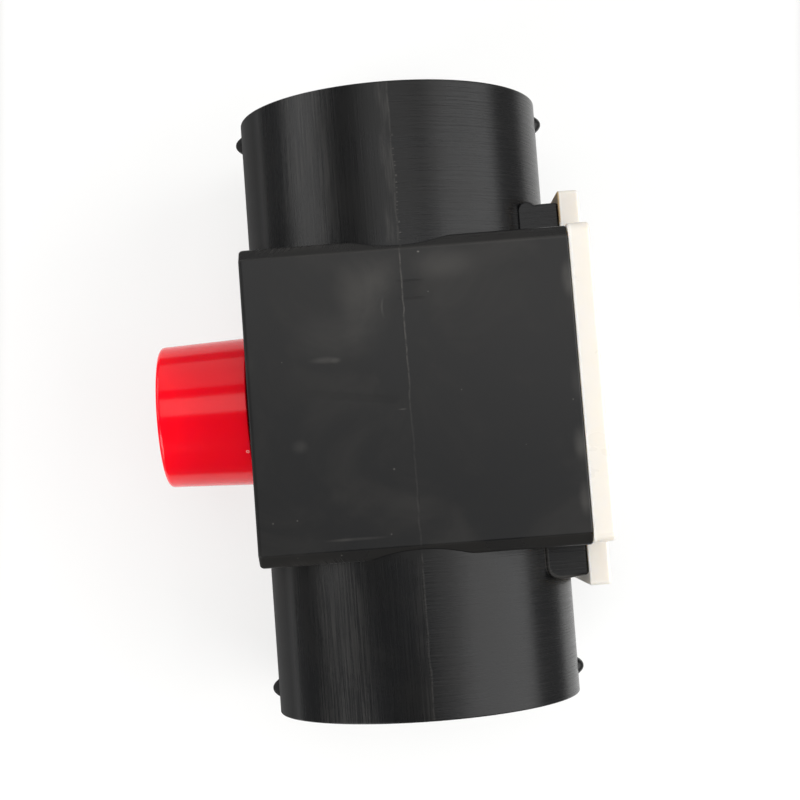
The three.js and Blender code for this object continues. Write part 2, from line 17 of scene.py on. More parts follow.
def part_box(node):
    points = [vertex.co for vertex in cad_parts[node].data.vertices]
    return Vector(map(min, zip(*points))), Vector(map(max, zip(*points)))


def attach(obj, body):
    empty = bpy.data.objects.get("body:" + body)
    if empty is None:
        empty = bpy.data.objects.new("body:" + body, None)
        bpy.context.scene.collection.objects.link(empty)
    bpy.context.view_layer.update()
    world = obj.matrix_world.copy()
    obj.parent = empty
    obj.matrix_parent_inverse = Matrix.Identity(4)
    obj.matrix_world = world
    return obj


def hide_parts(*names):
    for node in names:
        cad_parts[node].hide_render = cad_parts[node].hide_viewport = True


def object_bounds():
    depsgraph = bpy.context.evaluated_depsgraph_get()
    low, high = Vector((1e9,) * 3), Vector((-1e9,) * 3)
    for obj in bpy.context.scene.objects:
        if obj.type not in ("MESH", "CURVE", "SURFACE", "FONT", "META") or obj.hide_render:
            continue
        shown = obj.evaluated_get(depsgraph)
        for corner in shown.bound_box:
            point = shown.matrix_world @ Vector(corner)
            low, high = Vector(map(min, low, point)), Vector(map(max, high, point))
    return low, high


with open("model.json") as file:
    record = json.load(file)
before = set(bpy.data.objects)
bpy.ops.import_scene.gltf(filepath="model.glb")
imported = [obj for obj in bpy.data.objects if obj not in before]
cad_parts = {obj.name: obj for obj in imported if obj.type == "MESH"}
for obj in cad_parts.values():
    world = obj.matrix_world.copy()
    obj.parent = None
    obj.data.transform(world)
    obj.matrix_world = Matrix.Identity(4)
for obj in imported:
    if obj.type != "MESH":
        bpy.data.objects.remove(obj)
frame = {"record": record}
cad_low, cad_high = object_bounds()
record = frame["record"]

MM = 0.001
GAP = 0.3
HAIRLINE = 0.05


def box_mm(node):
    low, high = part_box(node)
    return Vector(low) / MM, Vector(high) / MM


# ---------------------------------------------------------------- sizes, in millimetres

body_low, body_high = box_mm("valve_body")
knob_low, knob_high = box_mm("turn_knob")
cover_low, cover_high = box_mm("cover_plate")
spindle_low, spindle_high = box_mm("drive_spindle")
ball_high = box_mm("ball")[1]
seat_low, seat_high = box_mm("upper_seat_ring")
retainer_low, retainer_high = box_mm("upper_seat_retainer")

outside_y = (body_low.y + body_high.y) / 2
cover_y = (cover_low.y + cover_high.y) / 2

cover = SimpleNamespace(
    outer=cover_high.x,
    thickness=5.05,
    half_deep=cover_high.z,
    half_along=37.2,
    ear_reach=cover_high.y - cover_y,
    ear_half_width=24.5,
    ear_round=0.9,
    corner_round=2.2,
    root_round=0.5,
    face_round=0.7,
    back_round=0.2,
    spigot_radius=29.7,
    spigot_end=cover_low.x,
    groove=(34.2, 37.2, 27.3),
    pin_bore=7.2,
    pin_floor=38.3,
)
cover_plane = cover.outer - cover.thickness

box = SimpleNamespace(
    knob_face=knob_high.x + 2.1,
    cover_face=cover_plane - GAP + 0.1,
    half_along=37.3,
    half_deep=body_high.z,
    end_slope=2.9,
    slope_foot_round=1.6,
    slope_top_round=0.5,
    side_round=0.45,
    knob_corner=1.1,
    cover_corner=0.6,
)

tube = SimpleNamespace(
    radius=body_high.z - 1.02,
    half_length=body_high.y - outside_y,
    bore=34.0,
    rim_round=0.35,
)

nub = SimpleNamespace(radius=2.2, proud=1.68, from_upper_rim=4.4, from_lower_rim=5.8)

lug = SimpleNamespace(
    thickness=10.0,
    reach_at_cover=45.35,
    reach_at_back=46.1,
    half_width=23.6,
    barrel_radius=2.3,
    corner_round=3.6,
    edge_round=0.7,
)

cavity = SimpleNamespace(radius=30.0, floor=-30.4)
seat_bore = SimpleNamespace(radius=28.3, shoulder=44.0, inner_end=15.5)
boss = SimpleNamespace(
    radius=12.4,
    end=body_low.x,
    stop_radius=14.9,
    stop_half_angle=20,
    stops=(124.8, 325.2),
)
stem = SimpleNamespace(bore=7.3, flange_bore=10.8, flange_floor=-34.6, bush_bore=9.5, bush_floor=-45.3)

cover_screw_spots = []
for number in (1, 2, 3, 4):
    low, high = box_mm(f"cover_screw_{number}")
    cover_screw_spots.append(((low.y + high.y) / 2, (low.z + high.z) / 2))

# ---------------------------------------------------------------- mesh helpers


def new_piece(name, bm):
    """Makes an object from a bmesh in millimetres, with its faces pointing out."""
    bmesh.ops.recalc_face_normals(bm, faces=bm.faces)
    bmesh.ops.scale(bm, vec=(MM, MM, MM), verts=bm.verts)
    mesh = bpy.data.meshes.new(name)
    bm.to_mesh(mesh)
    bm.free()
    piece = bpy.data.objects.new(name, mesh)
    bpy.context.scene.collection.objects.link(piece)
    return piece


def arc(cu, cv, radius, start, end, steps):
    """Points of an arc in degrees, both ends included."""
    points = []
    for step in range(steps + 1):
        angle = math.radians(start + (end - start) * step / steps)
        points.append((cu + radius * math.cos(angle), cv + radius * math.sin(angle)))
    return points


def softened(profile, radius, steps=4):
    """Rounds every corner of a closed (radius, along) profile that is off the axis."""
    points = [Vector(p) for p in profile]
    result = []
    for i, corner in enumerate(points):
        before = points[i - 1] - corner
        after = points[(i + 1) % len(points)] - corner
        opening = before.angle(after)
        if corner.x < 1e-6 or opening > math.radians(165):
            result.append(tuple(corner))
            continue
        reach = min(radius / math.tan(opening / 2), before.length * 0.45, after.length * 0.45)
        start = corner + before.normalized() * reach
        end = corner + after.normalized() * reach
        for step in range(steps + 1):
            t = step / steps
            result.append(tuple(start.lerp(corner, t).lerp(corner.lerp(end, t), t)))
    return result


def turned(name, profile, axis, segments=96):
    """A solid of revolution about X or Y from a closed profile of (radius, place along the axis)."""
    bm = bmesh.new()
    rings = []
    angles = [2 * math.pi * k / segments for k in range(segments)]
    for radius, along in profile:
        spots = [(radius * math.cos(a), radius * math.sin(a)) for a in angles]
        if radius < 1e-6:
            spots = [(0.0, 0.0)]
        if axis == "X":
            rings.append([bm.verts.new((along, u, v)) for u, v in spots])
        else:
            rings.append([bm.verts.new((u, along, v)) for u, v in spots])
    for i, ring in enumerate(rings):
        following = rings[(i + 1) % len(rings)]
        if len(ring) == 1 and len(following) == 1:
            continue
        for k in range(segments):
            m = (k + 1) % segments
            corners = [ring[k % len(ring)], ring[m % len(ring)],
                       following[m % len(following)], following[k % len(following)]]
            bm.faces.new(list(dict.fromkeys(corners)))
    return new_piece(name, bm)


def rod(name, radius, start, end, axis="X", segments=64):
    return turned(name, [(0, start), (radius, start), (radius, end), (0, end)], axis, segments)


def ring(name, outer, inner, start, end, axis="X", soft=0.25, segments=96):
    profile = [(inner, start), (outer, start), (outer, end), (inner, end)]
    return turned(name, softened(profile, soft, 3), axis, segments)


def extruded(name, outline, start, end, axis):
    """Extrudes a closed outline along X (outline in Y, Z) or along Z (outline in X, Y)."""
    bm = bmesh.new()
    caps = []
    for place in (start, end):
        spots = [(place, u, v) if axis == "X" else (u, v, place) for u, v in outline]
        caps.append([bm.verts.new(spot) for spot in spots])
    for cap in caps:
        bm.faces.new(cap)
    skin_loops(bm, caps)
    return new_piece(name, bm)


def skin_loops(bm, loops):
    """Bridges each loop of vertices to the next with quads."""
    count = len(loops[0])
    for a, b in zip(loops, loops[1:]):
        for k in range(count):
            m = (k + 1) % count
            bm.faces.new((a[k], a[m], b[m], b[k]))


def block(name, low, high):
    outline = [(low[0], low[1]), (high[0], low[1]), (high[0], high[1]), (low[0], high[1])]
    return extruded(name, outline, low[2], high[2], "Z")


def moved(piece, x=0.0, y=0.0, z=0.0):
    piece.data.transform(Matrix.Translation(Vector((x, y, z)) * MM))
    return piece


def leaned(piece, start=25.0, full=37.0):
    """Leans the cover's side by a third of a degree."""
    for vertex in piece.data.vertices:
        x, y = vertex.co.x / MM, vertex.co.y / MM - cover_y
        share = min(max((x - start) / (full - start), 0.0), 1.0)
        vertex.co.x -= share * 0.0052 * y * MM
    return piece


def askew(piece):
    """Sets the upper edge of the square middle or of the cover a little out, most on the cover's side."""
    for vertex in piece.data.vertices:
        if 32 < vertex.co.y / MM < 40:
            vertex.co.y += (0.42 + 0.005 * vertex.co.x / MM) * MM
    return piece


def freeze(piece):
    """Replaces a piece's mesh by what its modifiers make of it."""
    graph = bpy.context.evaluated_depsgraph_get()
    made = bpy.data.meshes.new_from_object(piece.evaluated_get(graph))
    old = piece.data
    piece.modifiers.clear()
    piece.data = made
    made.name = piece.name
    bpy.data.meshes.remove(old)


def combine(piece, others, operation):
    """Joins to a piece or cuts from it with exact booleans, and removes the other pieces."""
    for other in others:
        modifier = piece.modifiers.new(operation.lower(), "BOOLEAN")
        modifier.operation = operation
        modifier.solver = "EXACT"
        modifier.object = other
        freeze(piece)
        bpy.data.objects.remove(other)
    return piece


def rounded_edges(piece, width, segments=3, angle=40.0):
    """Rounds the edges that fold by more than the angle."""
    bevel = piece.modifiers.new("edge_round", "BEVEL")
    bevel.width = width * MM
    bevel.segments = segments
    bevel.limit_method = "ANGLE"
    bevel.angle_limit = math.radians(angle)
    bevel.miter_outer = "MITER_ARC"
    freeze(piece)
    return piece


def smoothed(piece, angle=35.0):
    """Shades a piece smooth, apart from the edges that still fold sharply."""
    bm = bmesh.new()
    bm.from_mesh(piece.data)
    bmesh.ops.remove_doubles(bm, verts=bm.verts, dist=1e-7)
    limit = math.radians(angle)
    for edge in bm.edges:
        edge.smooth = not (len(edge.link_faces) == 2 and edge.calc_face_angle(0.0) > limit)
    for face in bm.faces:
        face.smooth = True
    bm.to_mesh(piece.data)
    bm.free()
    weighted = piece.modifiers.new("normals", "WEIGHTED_NORMAL")
    weighted.keep_sharp = True
    weighted.weight = 80
    freeze(piece)
    return piece


# ---------------------------------------------------------------- material helpers


class Nodes:
    """A small writer of material node trees. Its coordinates are in millimetres."""

    def __init__(self, name):
        self.material = bpy.data.materials.new(name)
        self.material.use_nodes = True
        self.tree = self.material.node_tree
        self.tree.nodes.clear()
        output = self.make("ShaderNodeOutputMaterial")
        self.shader = self.make("ShaderNodeBsdfPrincipled")
        self.link(self.shader.outputs[0], output.inputs["Surface"])
        metres = self.make("ShaderNodeTexCoord").outputs["Object"]
        self.coords = self.scaled(metres, (1 / MM, 1 / MM, 1 / MM))

    def make(self, kind, **settings):
        node = self.tree.nodes.new(kind)
        for key, value in settings.items():
            setattr(node, key, value)
        return node

    def link(self, source, target):
        self.tree.links.new(source, target)

    def feed(self, target, value):
        if isinstance(value, bpy.types.NodeSocket):
            self.link(value, target)
        elif isinstance(value, tuple) and len(target.default_value) == 4:
            target.default_value = (*value, 1.0)
        else:
            target.default_value = value

    def math(self, operation, a, b=0.0):
        node = self.make("ShaderNodeMath", operation=operation)
        self.feed(node.inputs[0], a)
        self.feed(node.inputs[1], b)
        return node.outputs[0]

    def add(self, *values):
        total = values[0]
        for value in values[1:]:
            total = self.math("ADD", total, value)
        return total

    def times(self, *values):
        total = values[0]
        for value in values[1:]:
            total = self.math("MULTIPLY", total, value)
        return total

    def split(self, vector):
        node = self.make("ShaderNodeSeparateXYZ")
        self.link(vector, node.inputs[0])
        return node.outputs

    def join(self, x, y, z=0.0):
        node = self.make("ShaderNodeCombineXYZ")
        for socket, value in zip(node.inputs, (x, y, z)):
            self.feed(socket, value)
        return node.outputs[0]

    def scaled(self, vector, scale, shift=(0, 0, 0)):
        node = self.make("ShaderNodeMapping")
        self.link(vector, node.inputs["Vector"])
        node.inputs["Scale"].default_value = scale
        node.inputs["Location"].default_value = shift
        return node.outputs[0]

    def noise(self, vector, scale, detail=4.0, rough=0.55, distort=0.0):
        node = self.make("ShaderNodeTexNoise")
        self.link(vector, node.inputs["Vector"])
        node.inputs["Scale"].default_value = scale
        node.inputs["Detail"].default_value = detail
        node.inputs["Roughness"].default_value = rough
        node.inputs["Distortion"].default_value = distort
        return node.outputs[0]

    def specks(self, spacing, size, share):
        """1 in small round dots: about one cell in share of a grid of the given spacing has one."""
        node = self.make("ShaderNodeTexVoronoi", feature="F1")
        self.link(self.coords, node.inputs["Vector"])
        node.inputs["Scale"].default_value = 1 / spacing
        dot = self.ramp(node.outputs["Distance"], 0.4 * size / spacing, size / spacing, 1.0, 0.0)
        return self.times(dot, self.ramp(node.outputs["Color"], 1 - share, 1 - share + 0.05))

    def ramp(self, value, low, high, to_low=0.0, to_high=1.0):
        node = self.make("ShaderNodeMapRange", clamp=True, interpolation_type="SMOOTHSTEP")
        self.feed(node.inputs["Value"], value)
        node.inputs["From Min"].default_value = low
        node.inputs["From Max"].default_value = high
        node.inputs["To Min"].default_value = to_low
        node.inputs["To Max"].default_value = to_high
        return node.outputs[0]

    def between(self, value, low, high, soft):
        """1 from low to high, falling to 0 over the soft distance outside."""
        rise = self.ramp(value, low - soft, low)
        return self.times(rise, self.ramp(value, high, high + soft, 1.0, 0.0))

    def mix(self, factor, a, b):
        node = self.make("ShaderNodeMix", data_type="RGBA")
        self.feed(node.inputs["Factor"], factor)
        self.feed(node.inputs[6], a)
        self.feed(node.inputs[7], b)
        return node.outputs[2]

    def bump(self, height, strength, distance, normal=None):
        node = self.make("ShaderNodeBump")
        node.inputs["Strength"].default_value = strength
        node.inputs["Distance"].default_value = distance * MM
        self.feed(node.inputs["Height"], height)
        if normal is not None:
            self.link(normal, node.inputs["Normal"])
        return node.outputs[0]

    def near(self, spot, reach, solid=0.1):
        """1 at a spot, falling to 0 at reach (half sizes along each axis) from it."""
        scale = tuple(1 / r for r in reach)
        shift = tuple(-p / r for p, r in zip(spot, reach))
        node = self.make("ShaderNodeVectorMath", operation="LENGTH")
        self.link(self.scaled(self.coords, scale, shift), node.inputs[0])
        return self.ramp(node.outputs["Value"], solid, 1.0, 1.0, 0.0)

    def set(self, name, value):
        self.feed(self.shader.inputs[name], value)


# ---------------------------------------------------------------- materials


def front_marks(n, x, y, clouds):
    """Light scuffs and painted edge highlights (positive) and dark marks (negative) on the body's front face.
    """
    deep = box.half_deep
    light = [
        ((-9.5, 21, deep), (8, 15, 9), 0.10),
        ((-4.5, 27, deep), (6, 8, 9), 0.07),
        ((10, 29, deep), (10, 5, 9), 0.10),
        ((-18, 14, deep), (12, 8, 9), 0.05),
        # painted highlights: pale patches along the front face's right edge
        ((38.9, 23.5, deep), (2.2, 5.5, 9), 0.24),
        ((38.9, -0.9, deep), (1.8, 5.5, 9), 0.16),
        ((38.7, -15, deep), (2.2, 5.0, 9), 0.20),
        ((38.7, -28, deep), (1.8, 5, 9), 0.14),
        ((-19.2, 8.3, deep), (4.6, 1.15, 9), 0.13),
        ((-16.6, 8.1, deep), (1.6, 0.9, 9), 0.12),
        ((-26.3, -11.3, deep), (2.6, 2.2, 9), 0.10),
        # painted highlight: a thin pale line along the front face's lower edge
        ((-15, -33.5, deep), (9, 0.5, 9), 0.14),
        ((-1.9, -4.3, deep), (1.3, 0.25, 9), 0.22),
        ((-4.9, -18.0, deep), (0.35, 0.35, 9), 0.5),
        ((4.4, 32.2, deep), (0.4, 0.3, 9), 0.8),
    ]
    total = 0.0
    for spot, reach, amount in light:
        total = n.math("ADD", total, n.times(n.near(spot, reach), amount))
    total = n.times(total, n.ramp(clouds, 0.28, 0.6, 0.35, 1.25))

    # a crescent scratch left of the parting line
    away = n.math("SQRT", n.add(n.math("POWER", n.add(x, -2.0), 2.0), n.math("POWER", n.add(y, -19.5), 2.0)))
    crescent = n.times(n.between(away, 6.9, 7.1, 0.25), n.near((-4.9, 19.8, deep), (1.6, 3.2, 9)))

    # a small stamped rectangle right of the parting line, and a long faint crease on the left
    inside = n.times(n.between(x, 0.5, 3.6, 1.6), n.between(y, 21.6, 25.5, 0.25))
    rims = n.add(n.between(y, 25.5, 25.7, 0.25), n.between(y, 21.3, 21.5, 0.25))
    rims = n.times(n.between(x, 0.5, 3.6, 2.4), rims)
    slope = n.add(y, n.times(x, 0.14), 2.7)
    crease = n.times(n.between(slope, -0.5, 0.5, 0.9), n.between(x, -23, -4, 3.0))
    nick = n.near((0.1, -25.5, deep), (0.45, 2.1, 9))
    dark = n.add(n.times(inside, 0.35), n.times(rims, 0.8), n.times(crease, 0.35), n.times(nick, 0.9))
    return n.add(total, n.times(crescent, 0.12)), dark


def black_body_material():
    n = Nodes("moulded_black")
    x, y, z = n.split(n.coords)
    along = n.add(y, -outside_y)
    around = n.times(n.math("ARCTAN2", x, z), tube.radius)
    on_tube = n.ramp(n.math("ABSOLUTE", along), box.half_along - 2.0, box.half_along + 0.5)
    upper = n.ramp(along, -1.0, 1.0)
    lower = n.math("SUBTRACT", 1.0, upper)
    left = n.ramp(x, -1.0, 0.6, 1.0, 0.0)
    right = n.math("SUBTRACT", 1.0, left)
    front = n.times(n.ramp(z, box.half_deep - 0.5, box.half_deep - 0.15), n.math("SUBTRACT", 1.0, on_tube))
    clouds = n.noise(n.coords, 0.045, 5.0, 0.6, 0.6)
    fine = n.noise(n.coords, 0.9, 3.0, 0.6)

    # drag streaks along the tubes on the knob's side, tool lines round them on the cover's side
    streaks = n.noise(n.join(n.times(around, 2.3), n.times(y, 0.045)), 1.0, 6.0, 0.72, 0.25)
    comb = n.noise(n.join(n.times(around, 2.6), n.times(y, 0.03)), 1.0, 2.0, 0.6, 0.1)
    lines = n.noise(n.join(n.times(around, 0.03), n.times(y, 2.1)), 1.0, 4.0, 0.65, 0.25)
    drag = n.times(n.add(streaks, -0.5), left, on_tube)
    combed = n.times(n.add(comb, -0.5), n.between(around, -13, -2, 4.0), on_tube)
    combed = n.times(combed, n.add(0.35, n.times(lower, 0.5)))
    tool = n.times(n.add(lines, -0.5), right, on_tube)
    # painted reflection: a pale streaky band along each tube's left flank, where the left light's reflection
    # falls
    left_flank_reflection = n.times(n.between(around, -26, -17, 5.0), n.ramp(streaks, 0.42, 0.62), on_tube)

    # the parting line, with flash specks and a rubbed band beside it on the upper tube
    wander = n.times(n.add(n.noise(n.join(0.0, n.times(y, 0.11)), 1.0, 3.0, 0.6), -0.5), 1.3)
    from_line = n.add(x, wander)
    line = n.between(from_line, -0.05, 0.05, 0.28)
    line_strength = n.add(n.times(on_tube, 0.4), n.times(front, n.ramp(y, -12, 16, 0.25, 1.0)))
    breaks = n.ramp(n.noise(n.join(0.0, n.times(y, 0.5)), 1.0, 3.0, 0.6), 0.36, 0.55)
    line = n.times(line, line_strength, n.add(0.3, n.times(breaks, 0.7)))
    dashes = n.ramp(n.noise(n.join(0.0, n.times(y, 1.25)), 1.0, 1.0, 0.5), 0.52, 0.6)
    flecks = n.times(dashes, n.between(from_line, 0.35, 0.55, 0.2), n.between(y, 37, 58, 5.0))
    patchy = n.noise(n.join(n.times(x, 0.3), n.times(y, 0.07)), 1.0, 3.0, 0.6)
    band = n.times(n.between(from_line, -2.2, -0.4, 1.0), on_tube, n.ramp(streaks, 0.3, 0.62))
    band = n.times(band, n.ramp(patchy, 0.38, 0.6), n.add(0.3, n.times(upper, 0.7)))

    # painted light: the sloped end edges of the square middle are painted a little paler, for the light they
    # catch
    slope_start = box.half_along - box.end_slope + 0.3
    slope = n.between(n.math("ABSOLUTE", along), slope_start, box.half_along + 0.2, 0.3)
    from_axis = n.math("SQRT", n.add(n.times(x, x), n.times(z, z)))
    slope = n.times(slope, n.ramp(from_axis, tube.radius + 0.1, tube.radius + 0.3))
    slope = n.times(slope, n.ramp(z, box.half_deep - box.end_slope - 0.3, box.half_deep - box.end_slope))

    light_marks, dark_marks = front_marks(n, x, y, clouds)
    cloudy = n.times(n.ramp(clouds, 0.45, 0.75), 0.05, front)
    # painted light: the front face is painted paler towards the top, where the overhead light falls
    painted_top_light = n.times(n.ramp(n.add(y, n.times(x, 0.25)), -22, 34), 0.045, front)
    fine_dust = n.times(n.specks(1.3, 0.2, 0.3), n.ramp(around, -50, -38, 0.8, 0.0), on_tube)
    dust = n.add(n.specks(4.6, 0.26, 0.3), fine_dust)

    # painted highlight: a pale rim round the lower lug's free edge, where its rounded edge catches the light
    centre_x = box.cover_face - lug.thickness + lug.corner_round
    centre_y = cover_y - lug.reach_at_back + lug.corner_round
    beside = n.math("MAXIMUM", n.math("SUBTRACT", centre_x, x), 0.0)
    below = n.math("MAXIMUM", n.math("SUBTRACT", centre_y, y), 0.0)
    from_corner = n.math("SQRT", n.add(n.times(beside, beside), n.times(below, below)))
    at_front = n.ramp(z, lug.half_width - 1.5, lug.half_width - 1.0)
    at_front = n.times(at_front, n.ramp(z, lug.half_width + 0.1, lug.half_width + 0.3, 1.0, 0.0))
    lug_front = n.times(at_front, n.ramp(y, -39.5, -38.8, 1.0, 0.0), n.ramp(x, 29.0, 29.6))
    lug_rim_highlight = n.times(n.between(from_corner, lug.corner_round - 0.8, lug.corner_round + 0.1, 0.2), lug_front)
    pale = n.add(
        n.times(light_marks, front),
        cloudy,
        painted_top_light,
        n.times(left_flank_reflection, 0.10),
        n.times(band, 0.13),
        n.times(line, 0.24),
        n.times(flecks, 0.25),
        n.times(dust, 0.35),
        n.times(lug_rim_highlight, 0.22),
        n.times(slope, 0.07),
        n.times(drag, 0.08),
        n.times(tool, 0.10),
    )
    base = n.mix(n.ramp(clouds, 0.35, 0.65), (0.0038, 0.0040, 0.0044), (0.0049, 0.0048, 0.0047))
    n.set("Base Color", n.mix(n.math("MAXIMUM", pale, 0.0), base, (0.135, 0.128, 0.118)))
    rubbed = n.times(n.ramp(around, -42, -36, 1.0, 0.0), on_tube)
    rough = n.add(
        0.28,
        n.times(front, 0.10),
        n.times(rubbed, 0.45),
        n.times(drag, 0.16),
        n.times(tool, 0.20),
        n.times(n.add(clouds, -0.5), 0.14),
        n.times(light_marks, front, 0.3),
        n.times(dark_marks, front, 0.22),
    )
    n.set("Roughness", n.math("MINIMUM", n.math("MAXIMUM", rough, 0.2), 0.75))
    n.set("Specular IOR Level", 0.25)

    swell = n.bump(n.noise(n.coords, 0.055, 2.0, 0.5), 0.35, 0.16)
    relief = n.add(
        n.times(drag, 0.5),
        n.times(combed, 0.9),
        n.times(tool, 1.1),
        n.times(line, 0.9),
        n.times(flecks, 0.3),
        n.times(fine, 0.10),
        n.times(dark_marks, front, -0.9),
        n.times(n.near((-19.2, 8.3, box.half_deep), (4.4, 1.1, 9)), clouds, 1.6),
    )
    n.set("Normal", n.bump(relief, 0.8, 0.07, swell))
    return n.material


def red_knob_material():
    n = Nodes("glossy_red")
    x, y, z = n.split(n.coords)
    clouds = n.noise(n.coords, 0.035, 3.0, 0.5)
    around = n.times(n.math("ARCTAN2", z, y), 18.0)
    rubs = n.noise(n.join(n.times(around, 0.10), n.times(x, 2.2)), 1.0, 3.0, 0.6)
    dust = n.specks(5.5, 0.14, 0.3)
    gate_distance = n.make("ShaderNodeVectorMath", operation="DISTANCE")
    n.link(n.coords, gate_distance.inputs[0])
    gate_distance.inputs[1].default_value = (knob_high.x - 0.75, -10.7, 15.4)
    gate = n.between(gate_distance.outputs["Value"], 0.26, 0.40, 0.12)
    pale = n.math("MAXIMUM", n.times(dust, 0.35), n.times(gate, 0.6))
    base = n.mix(clouds, (0.95, 0.0002, 0.010), (0.99, 0.0004, 0.014))
    n.set("Base Color", n.mix(pale, base, (0.9, 0.45, 0.40)))
    n.set("Roughness", n.add(n.ramp(rubs, 0.35, 0.75, 0.12, 0.20), n.times(pale, 0.3)))
    n.set("Specular IOR Level", 0.30)
    n.set("Subsurface Weight", 0.6)
    n.set("Subsurface Radius", (1.0, 0.1, 0.1))
    n.set("Subsurface Scale", 5 * MM)
    peel = n.bump(n.noise(n.coords, 0.25, 2.0, 0.5), 0.05, 0.05)
    sink = n.bump(clouds, 0.10, 0.35, peel)
    n.set("Normal", n.bump(gate, 0.6, 0.05, sink))
    return n.material


def ivory_cover_material():
    n = Nodes("glossy_ivory")
    clouds = n.noise(n.coords, 0.055, 4.0, 0.55, 0.4)
    dirt = n.specks(5.0, 0.16, 0.25)
    base = n.mix(clouds, (0.68, 0.64, 0.56), (0.71, 0.675, 0.64))
    x, y, z = n.split(n.coords)
    # painted highlights: a thin pale line along the front edge next to the body, and paler towards the
    # rounded outer edge
    inner_edge_highlight = n.between(x, cover_plane + 0.15, cover_plane + 0.4, 0.15)
    inner_edge_highlight = n.times(inner_edge_highlight, n.ramp(z, 23.0, 24.0), 0.2)
    outer_edge_highlight = n.ramp(x, cover.outer - 0.9, cover.outer - 0.1, 0.0, 0.4)
    base = n.mix(n.math("MAXIMUM", inner_edge_highlight, outer_edge_highlight), base, (0.88, 0.87, 0.85))
    # painted shade: the ears' inner faces next to the body are tinted ochre, as the ivory looks in shade
    ear_back_shade = n.ramp(x, cover_plane - 0.1, cover_plane + 0.1, 1.0, 0.0)
    ear_back_shade = n.times(ear_back_shade, n.ramp(n.math("ABSOLUTE", y), 38.0, 40.0))
    base = n.mix(n.times(ear_back_shade, 0.8), base, (0.42, 0.26, 0.08))
    n.set("Base Color", n.mix(n.times(dirt, 0.3), base, (0.35, 0.3, 0.22)))
    n.set("Roughness", n.ramp(clouds, 0.3, 0.7, 0.26, 0.38))
    n.set("Subsurface Weight", 0.7)
    n.set("Subsurface Radius", (1.0, 0.9, 0.7))
    n.set("Subsurface Scale", 3 * MM)
    peel = n.noise(n.coords, 0.30, 2.0, 0.5)
    n.set("Normal", n.bump(peel, 0.10, 0.05, n.bump(clouds, 0.15, 0.25)))
    return n.material


def plastic_material(name, low, high, rough_low, rough_high, spacing):
    """A moulded or turned plastic with faint clouds, a fine grain and a little dust."""
    n = Nodes(name)
    clouds = n.noise(n.coords, 1 / spacing, 4.0, 0.6, 0.3)
    fine = n.noise(n.coords, 14 / spacing, 3.0, 0.6)
    grey = tuple(0.5 * (c + 0.25) for c in low)
    n.set("Base Color", n.mix(n.times(n.specks(3.4, 0.2, 0.2), 0.3), n.mix(clouds, low, high), grey))
    n.set("Roughness", n.ramp(clouds, 0.3, 0.7, rough_low, rough_high))
    n.set("Normal", n.bump(fine, 0.2, 0.03))
    return n.material


def turned_metal_material(name, low, high):
    """Metal with fine lathe lines along X and soft stains."""
    n = Nodes(name)
    x, y, z = n.split(n.coords)
    rings = n.noise(n.join(n.times(x, 9.0), 0.0), 1.0, 3.0, 0.7)
    stains = n.noise(n.coords, 0.16, 4.0, 0.6, 0.5)
    n.set("Base Color", n.mix(stains, low, high))
    n.set("Metallic", 1.0)
    n.set("Roughness", n.add(n.ramp(rings, 0.3, 0.7, 0.22, 0.36), n.ramp(stains, 0.45, 0.75, 0.0, 0.12)))
    n.set("Normal", n.bump(rings, 0.25, 0.02))
    return n.material


MATERIALS = {
    "body_black": black_body_material(),
    "knob_red": red_knob_material(),
    "cover_ivory": ivory_cover_material(),
    "ball_white": plastic_material("smooth_white", (0.72, 0.72, 0.69), (0.80, 0.80, 0.77), 0.16, 0.3, 17.0),
    "seat_ptfe": plastic_material("waxy_ptfe", (0.78, 0.78, 0.74), (0.86, 0.86, 0.83), 0.4, 0.55, 12.0),
    "seal_rubber": plastic_material(
        "seal_rubber", (0.012, 0.012, 0.012), (0.022, 0.022, 0.021), 0.6, 0.85, 8.0
    ),
    "steel": turned_metal_material("turned_steel", (0.52, 0.53, 0.55), (0.66, 0.67, 0.68)),
    "brass": turned_metal_material("turned_brass", (0.62, 0.42, 0.16), (0.78, 0.58, 0.28)),
}
RETAINER_BLACK = plastic_material(
    "retainer_black", (0.014, 0.014, 0.015), (0.022, 0.022, 0.022), 0.35, 0.55, 11.0
)

BODY_OF = {node: body for body, nodes in record["behaviour"]["bodies"].items() for node in nodes}
SLOT_OF = {part["node"]: part["material_slot"] for part in record["subparts"]}


def stand_for(piece, node, material=None):
    """Puts a finished piece in the place of its CAD node."""
    slot = SLOT_OF[node]
    piece.data.materials.clear()
    piece.data.materials.append(material or MATERIALS[slot])
    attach(piece, BODY_OF[node])
    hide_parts(node)


# ---------------------------------------------------------------- valve body


def end_corner(inset):
    """Outline in (Y, Z) of one end edge: a 45 degree slope with soft corners, drawn inset."""
    foot, top = box.slope_foot_round, box.slope_top_round
    foot_z = box.half_deep - box.end_slope - foot * (math.sqrt(2) - 1)
    top_y = box.half_along - box.end_slope - top * (math.sqrt(2) - 1)
    points = arc(box.half_along - foot, foot_z, foot - inset, 0, 45, 6)
    return points + arc(top_y, box.half_deep - top, top - inset, 45, 90, 4)


